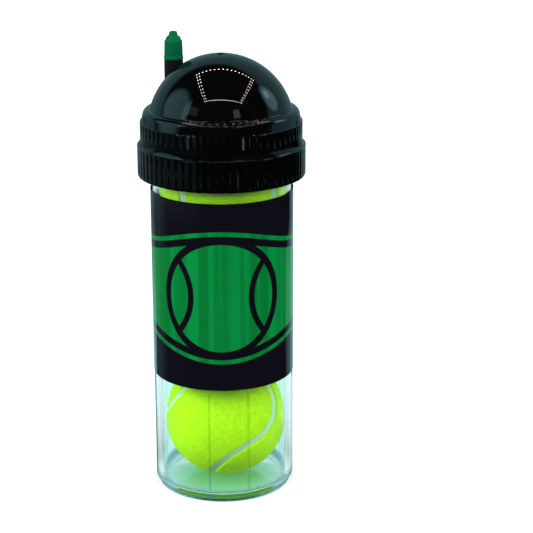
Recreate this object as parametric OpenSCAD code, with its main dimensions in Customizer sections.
// A clear jar for three balls, closed by a domed screw lid with an air valve in it.
// Millimetres. +Z is up and the origin is the middle of the foot, on the table.
// Every piece is its own module: the jar and its sleeve, the lid and its gasket,
// the valve from its rubber stem down to its spring, and four pieces to each ball.

/* [Jar] */
// Outside diameter of the clear wall
jar_d = 76; // [75:0.5:77]
// Thickness of the clear wall
jar_wall = 2.8; // [2.4:0.1:3]
// Height of the rim above the table
jar_h = 205.4; // [204:0.2:207]
// Height of the inside floor above the table
floor_z = 3.8; // [3.4:0.1:4.4]
// Height of the foot below the round of the wall
foot_h = 2.3; // [1.7:0.1:2.6]
// Number of pairs of fine upright ribs round the lower wall
rib_pairs = 4; // [2:1:5]
// Number of short bars where the floor meets the wall
floor_bars = 12; // [6:1:18]
// Height at which the upright ribs end
jar_rib_top = 64; // [40:1:65]

/* [Label sleeve] */
// Lower edge of the printed sleeve
label_low = 65.4; // [65:0.2:70]
// Upper edge of the printed sleeve
label_high = 168.1; // [150:0.1:170]
// Thickness of the sleeve's film
label_t = 0.3; // [0.2:0.05:0.5]

/* [Lid] */
// How far the skirt reaches below the rim
skirt_drop = 30.1; // [28:0.1:32]
// Thickness of the skirt outside the thread
skirt_wall = 4.8; // [4.4:0.1:5]
// Height of the wide lower tier
tier_h = 16.2; // [15:0.1:17]
// Step in from the lower tier to the upper one
tier_step = 1.7; // [1.4:0.1:1.8]
// Height of the ledge above the rim
ledge_up = 5.4; // [5:0.1:6]
// Radius of the dome's outside
dome_r = 39; // [38.6:0.1:39.4]
// Height of the dome above the ledge
dome_h = 28.6; // [27.6:0.2:29.6]
// Thickness of the dome
dome_wall = 3.2; // [2.6:0.1:3.4]
// Number of grip grooves round each tier
grip_count = 66; // [48:2:72]
// Depth of the grip grooves
grip_depth = 0.5; // [0.3:0.05:0.6]

/* [Valve] */
// Distance of the valve from the jar's axis
valve_out = 29; // [28.6:0.1:29.2]
// Direction of the valve, in degrees from +X
valve_turn = 151; // [0:1:359]
// Height of the valve's seat above the ledge
seat_up = 7; // [6:0.1:8]
// Radius of the rubber stem where it stands clear
stem_r = 5.05; // [4.8:0.05:5.2]
// Number of ribs round the dust cap
cap_ribs = 34; // [24:1:40]
// Travel that the spring leaves to the pin
pin_travel = 1.2; // [1:0.1:1.4]
// Number of turns in the valve's spring
spring_turns = 8; // [6:1:9]

/* [Balls] */
// Diameter of a ball over its felt
ball_d = 67; // [65.4:0.2:68.6]
// Thickness of the felt
felt_t = 3; // [2.5:0.1:3.5]
// Thickness of the hollow rubber core
core_wall = 3.3; // [3:0.1:4]
// Width of the seam between the two felt panels
seam_w = 2.7; // [2:0.1:3.2]
// How far the seam lies below the felt
seam_sink = 0.8; // [0.5:0.1:1.2]
// Spread of the seam's four arcs from the poles, in degrees
seam_spread = 84; // [76:1:86]
// How far a ball leans off the jar's axis, each way in turn
ball_lean = 1.5; // [0:0.1:1.6]

/* [Hidden] */
$fn = 72;
eps = 0.02;
// jar
jar_r = jar_d / 2;
bore_r = jar_r - jar_wall;
neck_r = jar_r + 0.4;
neck_z = jar_h - 26;
foot_r = jar_r - 1.7;
foot_ring = 3.2;
recess_h = 0.9;
round_out = 1.6;
round_in = 2.2;
jar_rib_r = 0.45;
rib_turn = -84.5;
rib_apart = 33;
// lid
lid_bore_r = neck_r + 1.6;
lid_r = lid_bore_r + skirt_wall;
upper_r = lid_r - tier_step;
lid_z = jar_h - skirt_drop;
tier_z = lid_z + tier_h;
cove_h = 3.6;
ledge_z = jar_h + ledge_up;
step_z = ledge_z - 6.7;
slope_r = upper_r - 0.75;
slope_z = step_z + 0.3;
slope_lean = 12;
shoulder = 3.2;
shoulder_z = ledge_z - shoulder;
slope_top_z = shoulder_z + shoulder * sin(slope_lean);
slope_top_r = slope_r - (slope_top_z - slope_z) * tan(slope_lean);
shoulder_r = slope_top_r - shoulder * cos(slope_lean);
lid_edge = 0.7;
gate_r = 2.5;
gasket_t = 2.2;
gasket_gap = 0.05;
seat_under = jar_h + gasket_gap + gasket_t + eps;
dome_z = ledge_z + dome_h - dome_r;
grip_r = 0.75;
grip_set = grip_r - grip_depth;
// valve
seat_z = ledge_z + seat_up;
seat_t = 3.2;
pocket_r = 8.2;
hollow_r = 6.6;
hole_r = 5.6;
stalk_z = 16.2;
barrel_r = 3.3;
barrel_bore = 2;
tip_r = 3.5;
tip_bore = 2.65;
tip_z = 24.7;
cone_low = 15.9;
cone_high = 17.4;
cage_r = 1.7;
cage_bore = 1.2;
cage_hole = 0.65;
cage_head_r = 2.6;
cage_head_z = 18.4;
cage_z = 10.6;
cage_top = tip_z - pin_travel;
pin_r = 0.5;
pin_collar_z = 21.6;
pin_cup_z = 7.1;
washer_z = 8.42;
cap_z = 16.4;
cap_r = 4.7;
cap_rib_r = 0.3;
cap_flange_r = 5.15;
cap_bore_r = 3.95;
cap_bore_z = 9.17;
spring_low = 11.8;
spring_high = 21.4;
spring_r = 0.78;
wire_r = 0.16;
// balls
ball_r = ball_d / 2;
ball_gap = 0.3;
core_r = ball_r - felt_t;
ball_turns = [[-53.4, -31.4, -86.2], [35, 62, 20], [-170, -170, -174]];
lean_turn = -56;
seam_rho = acos(sin(seam_spread) * cos(45));
seam_half = seam_w / 2 / ball_r * 180 / PI;

// A flat ring: r0 to r1 across, z0 to z1 up
module ring(r0, r1, z0, z1) {
    rotate_extrude() translate([r0, z0]) square([r1 - r0, z1 - z0]);
}

// A corner of a section rounded off: the round bulges out from the chord of a chamfer
module round_at(r, z, q) {
    translate([r, z]) circle(r = q);
}

// Everything on the valve stands on its own axis, with z counted from the pocket's seat
module at_valve() {
    rotate(valve_turn) translate([valve_out, 0, seat_z]) children();
}

// The clear jar: foot, wall, neck, and the fine ribs that stiffen the lower wall
module jar() {
    color([0.78, 0.93, 0.9, 0.45]) union() {
        difference() {
            union() {
                rotate_extrude() jar_outline();
                for (i = [0:rib_pairs - 1]) for (s = [-1, 1])
                    rotate(rib_turn + i * 360 / rib_pairs + s * rib_apart / 2) jar_rib();
            }
            rotate_extrude() jar_inside();
            rotate_extrude() polygon([[0, -1], [foot_r - foot_ring, -1],
                [foot_r - foot_ring - 0.4, recess_h], [0, recess_h + 0.3]]);
        }
        for (i = [0:floor_bars - 1]) rotate(rib_turn + i * 360 / floor_bars) floor_bar();
    }
}

module jar_outline() {
    polygon([[0, 0], [foot_r - 0.6, 0], [foot_r, 0.6], [foot_r, foot_h],
        [jar_r - round_out, foot_h + 0.3], [jar_r, foot_h + 0.3 + round_out], [jar_r, neck_z - 1],
        [neck_r, neck_z], [neck_r, jar_h - 0.7], [neck_r - 0.7, jar_h], [0, jar_h]]);
    round_at(jar_r - round_out, foot_h + 0.3 + round_out, round_out);
}

module jar_inside() {
    polygon([[0, floor_z], [bore_r - round_in, floor_z], [bore_r, floor_z + round_in],
        [bore_r, jar_h - 0.4], [bore_r + 0.8, jar_h + 1], [0, jar_h + 1]]);
    round_at(bore_r - round_in, floor_z + round_in, round_in);
}

module jar_rib() {
    translate([jar_r - 0.2, 0, foot_h + 2.4]) rotate_extrude() polygon([[0, 0], [0.1, 0],
        [jar_rib_r, 2], [jar_rib_r, jar_rib_top - foot_h - 4.4],
        [0.1, jar_rib_top - foot_h - 2.4], [0, jar_rib_top - foot_h - 2.4]]);
}

module floor_bar() {
    translate([bore_r - 3.6, -0.4, floor_z - 0.3]) cube([4.2, 0.8, 1.2]);
}

// The printed film round the jar
module label_sleeve() {
    color([0.07, 0.06, 0.09])
        ring(jar_r + eps, jar_r + eps + label_t, label_low, label_high);
}

// The lid: two gripped tiers, a dome, and a sunk seat with a hollow boss for the valve
module lid() {
    color([0.04, 0.04, 0.045]) difference() {
        union() {
            rotate_extrude() lid_outline();
            at_valve() translate([0, 0, -seat_up]) cylinder(r = pocket_r, h = seat_up);
        }
        difference() {
            rotate_extrude() lid_inside();
            at_valve() translate([0, 0, -seat_t])
                cylinder(r = pocket_r + dome_wall, h = dome_r);
        }
        at_valve() cylinder(r = pocket_r, h = dome_r);
        at_valve() translate([0, 0, seat_under - seat_z - 1])
            cylinder(r = hollow_r, h = seat_z - seat_under + 1 - seat_t);
        at_valve() translate([0, 0, -seat_t - 1]) cylinder(r = hole_r, h = seat_t + 2);
        for (i = [0:grip_count - 1]) rotate(i * 360 / grip_count) {
            translate([upper_r + grip_set, 0, step_z - 6.6]) groove(7.6);
            translate([lid_r + grip_set, 0, lid_z + 1.5]) groove(tier_h - 1.7);
        }
        translate([0, 0, dome_z + dome_r - 0.9]) cylinder(r1 = gate_r - 0.5, r2 = gate_r, h = 1.2);
    }
}

module lid_outline() {
    polygon([[0, lid_z], [lid_r - lid_edge, lid_z], [lid_r, lid_z + lid_edge], [lid_r, tier_z],
        [lid_r - 0.8, tier_z + 0.15], [lid_r - 1.15, tier_z + 0.8],
        [upper_r + 0.25, tier_z + 1.9], [upper_r, tier_z + cove_h], [upper_r, step_z],
        [slope_r, slope_z], [slope_top_r, slope_top_z], [shoulder_r, ledge_z], [0, ledge_z]]);
    round_at(lid_r - lid_edge, lid_z + lid_edge, lid_edge);
    round_at(shoulder_r, shoulder_z, shoulder);
    dome_half(dome_r, ledge_z - 1);
}

module lid_inside() {
    polygon([[0, lid_z - 1], [lid_bore_r + 2, lid_z - 1], [lid_bore_r, lid_z + 1.5],
        [lid_bore_r, seat_under], [0, seat_under]]);
    dome_half(dome_r - dome_wall, seat_under - 1);
}

// The part of a half circle about the axis that lies above z
module dome_half(r, z) {
    intersection() {
        translate([0, dome_z]) circle(r = r);
        translate([0, z]) square([r + 1, r + dome_z - z + 1]);
    }
}

// A grip groove's cutter, tapered at both ends
module groove(h) {
    rotate_extrude() polygon([[0, 0], [0.2, 0], [grip_r, 0.9], [grip_r, h - 0.9],
        [0.2, h], [0, h]]);
}

// The flat ring that seals the lid on the rim
module lid_gasket() {
    color([0.13, 0.13, 0.13])
        ring(bore_r + 0.3, lid_bore_r - 0.3, jar_h + gasket_gap, seat_under - eps);
}

// The snap-in rubber stem: bulb below the seat, waist in the hole, flange and stalk above
module valve_stem() {
    color([0.06, 0.06, 0.06]) at_valve() rotate_extrude() polygon([
        [barrel_r + eps, -9.5], [4.6, -9.5], [hollow_r - 0.2, -7.5],
        [hollow_r - 0.2, -5], [hole_r - 0.05, -seat_t - 0.05], [hole_r - 0.05, eps],
        [7.4, eps], [7.4, 1.6], [6.6, 2.2], [stem_r, 4.8], [stem_r, stalk_z - 0.4],
        [stem_r - 0.4, stalk_z], [barrel_r + eps, stalk_z]]);
}

// The plated tube bonded in the stem, with its tip above the rubber
module valve_barrel() {
    color([0.75, 0.74, 0.7]) at_valve() rotate_extrude() polygon([
        [barrel_bore, -8], [barrel_r, -8], [barrel_r, stalk_z + eps],
        [tip_r, stalk_z + eps], [tip_r, tip_z - 0.5], [tip_r - 0.4, tip_z],
        [tip_bore + 0.1, tip_z], [tip_bore, tip_z - 0.2], [tip_bore, cone_high],
        [barrel_bore, cone_low]]);
}

// The core that screws into the barrel: a cage for the spring
module valve_core() {
    color([0.72, 0.55, 0.25]) at_valve() rotate_extrude() polygon([[cage_hole, cage_z],
        [cage_r, cage_z], [cage_r, cage_head_z], [cage_head_r, cage_head_z],
        [cage_head_r, cage_top], [cage_bore, cage_top], [cage_bore, cage_z + 1],
        [cage_hole, cage_z + 1]]);
}

// The tapered ring that seals the core against the barrel's cone
module valve_core_seal() {
    color([0.6, 0.12, 0.1]) at_valve() rotate_extrude() polygon([
        [cage_r + eps, cone_low - 0.3], [barrel_bore - 0.05, cone_low - 0.3],
        [barrel_bore - 0.05, cone_low], [tip_bore - 0.1, cone_high - 0.1],
        [tip_bore - 0.1, cage_head_z - 0.1], [cage_r + eps, cage_head_z - 0.1]]);
}

// The pin, with the collar that the spring lifts and the cup that carries the washer
module valve_pin() {
    color([0.78, 0.62, 0.32]) at_valve() rotate_extrude() polygon([[0, pin_cup_z],
        [cage_r - 0.15, pin_cup_z], [cage_r - 0.15, washer_z - eps],
        [pin_r, washer_z - eps], [pin_r, pin_collar_z], [cage_bore - 0.15, pin_collar_z],
        [cage_bore - 0.15, pin_collar_z + 0.7], [pin_r, pin_collar_z + 0.7],
        [pin_r, tip_z - 0.3], [pin_r - 0.2, tip_z - 0.1], [0, tip_z - 0.1]]);
}

// The washer that shuts the core from below
module valve_pin_washer() {
    color([0.1, 0.1, 0.1]) at_valve()
        ring(pin_r + eps, cage_r - 0.1, washer_z, cage_z - 0.05);
}

// The spring round the pin: one tube along a helix
spring_rings = spring_turns * 8;
spring_pitch = (spring_high - spring_low - 2 * wire_r) / spring_turns;
function spring_at(i) = [
    spring_r * cos(45 * i),
    spring_r * sin(45 * i),
    spring_low + wire_r + spring_pitch * i / 8];
function spring_point(i, k) = let (c = spring_at(i), a = 45 * i, b = 60 * k)
    [c[0] + wire_r * cos(b) * cos(a), c[1] + wire_r * cos(b) * sin(a), c[2] + wire_r * sin(b)];
spring_gap = min([for (i = [0:spring_rings - 6]) for (j = [i + 6:spring_rings])
    norm(spring_at(i) - spring_at(j))]) - 2 * wire_r;
echo(spring_least_gap_mm = spring_gap);

module valve_spring() {
    points = [for (i = [0:spring_rings]) for (k = [0:5]) spring_point(i, k)];
    sides = [for (i = [0:spring_rings - 1]) for (k = [0:5])
        [6 * i + k, 6 * i + 6 + k, 6 * i + 6 + (k + 1) % 6, 6 * i + (k + 1) % 6]];
    ends = [[0, 1, 2, 3, 4, 5], [for (k = [5:-1:0]) 6 * spring_rings + k]];
    color([0.7, 0.7, 0.72]) at_valve() polyhedron(points, concat(sides, ends));
}

// The dust cap: flange, ribbed skirt, stepped crown and a small nipple
module dust_cap() {
    color([0, 0.45, 0.27]) at_valve() translate([0, 0, cap_z]) difference() {
        union() {
            rotate_extrude() polygon([[0, 0], [cap_flange_r - 0.25, 0], [cap_flange_r, 0.3],
                [cap_flange_r, 1.5], [cap_flange_r - 0.25, 1.8], [cap_r, 1.8], [cap_r, 8.8],
                [cap_r + 0.05, 9], [cap_r + 0.05, 9.7], [4.05, 10.5], [3.75, 11.6],
                [2.6, 12.4], [2.3, 13.1], [2.05, 14.4], [1.6, 14.7], [0, 14.7]]);
            for (i = [0:cap_ribs - 1]) rotate(i * 360 / cap_ribs)
                translate([cap_r - 0.12, 0, 1.2]) cylinder(r = cap_rib_r, h = 7.3);
        }
        rotate_extrude() polygon([[0, -1], [cap_bore_r + 0.65, -1], [cap_bore_r, 0.6],
            [cap_bore_r, cap_bore_z], [0, cap_bore_z]]);
    }
}

// The rubber disc inside the dust cap
module dust_cap_washer() {
    color([0.1, 0.1, 0.1]) at_valve() translate([0, 0, cap_z])
        ring(0.8, cap_bore_r - 0.15, cap_bore_z - 0.67, cap_bore_z - eps);
}

// Ball n of the stack, counted from the floor, turned as it lies in the jar
module at_ball(n) {
    rotate(lean_turn + 180 * n)
        translate([ball_lean, 0, floor_z + ball_gap + ball_r + n * (ball_d + ball_gap)])
        rotate(-lean_turn - 180 * n) rotate(ball_turns[n]) children();
}

module shell(r0, r1) {
    difference() {
        sphere(r = r1);
        sphere(r = r0);
    }
}

// A cone from the ball's middle along one of the seam's two axes on one side
module seam_cone(turn, tilt, half) {
    rotate(turn) rotate([0, tilt, 0]) cylinder(r1 = 0, r2 = (ball_r + 2) * tan(half), h = ball_r + 2);
}

// The region of one felt panel, shrunk by s degrees on every edge: the band over the
// top pole between two cones, and the two lobes that it runs into below
module panel(s) {
    wide = seam_rho + s;
    slim = acos(sin(seam_spread) * sin(acos(cos(wide) / sin(seam_spread))));
    size = 2 * ball_r + 4;
    difference() {
        translate([0, 0, size / 4]) cube([size, size, size / 2], center = true);
        seam_cone(0, seam_spread, wide);
        seam_cone(180, seam_spread, wide);
    }
    intersection() {
        translate([0, 0, -size / 4]) cube([size, size, size / 2], center = true);
        union() {
            seam_cone(90, 180 - seam_spread, slim);
            seam_cone(270, 180 - seam_spread, slim);
        }
    }
}

module other_panel(s) {
    rotate([180, 0, 90]) panel(s);
}

module ball_core(n) {
    color([0.25, 0.22, 0.2]) at_ball(n) shell(core_r - core_wall, core_r);
}

module ball_felt_a(n) {
    color([0.72, 0.9, 0.1]) at_ball(n) intersection() {
        shell(core_r + eps, ball_r);
        panel(seam_half);
    }
}

module ball_felt_b(n) {
    color([0.72, 0.9, 0.1]) at_ball(n) intersection() {
        shell(core_r + eps, ball_r);
        other_panel(seam_half);
    }
}

module ball_seam(n) {
    color([0.8, 0.86, 0.74]) at_ball(n) difference() {
        shell(core_r + eps, ball_r - seam_sink);
        panel(seam_half - 0.1);
        other_panel(seam_half - 0.1);
    }
}

module ball_bottom_core() { ball_core(0); }
module ball_bottom_felt_a() { ball_felt_a(0); }
module ball_bottom_felt_b() { ball_felt_b(0); }
module ball_bottom_seam() { ball_seam(0); }
module ball_middle_core() { ball_core(1); }
module ball_middle_felt_a() { ball_felt_a(1); }
module ball_middle_felt_b() { ball_felt_b(1); }
module ball_middle_seam() { ball_seam(1); }
module ball_top_core() { ball_core(2); }
module ball_top_felt_a() { ball_felt_a(2); }
module ball_top_felt_b() { ball_felt_b(2); }
module ball_top_seam() { ball_seam(2); }

jar();
label_sleeve();
lid();
lid_gasket();
valve_stem();
valve_barrel();
valve_core();
valve_core_seal();
valve_pin();
valve_pin_washer();
valve_spring();
dust_cap();
dust_cap_washer();
ball_bottom_core();
ball_bottom_felt_a();
ball_bottom_felt_b();
ball_bottom_seam();
ball_middle_core();
ball_middle_felt_a();
ball_middle_felt_b();
ball_middle_seam();
ball_top_core();
ball_top_felt_a();
ball_top_felt_b();
ball_top_seam();
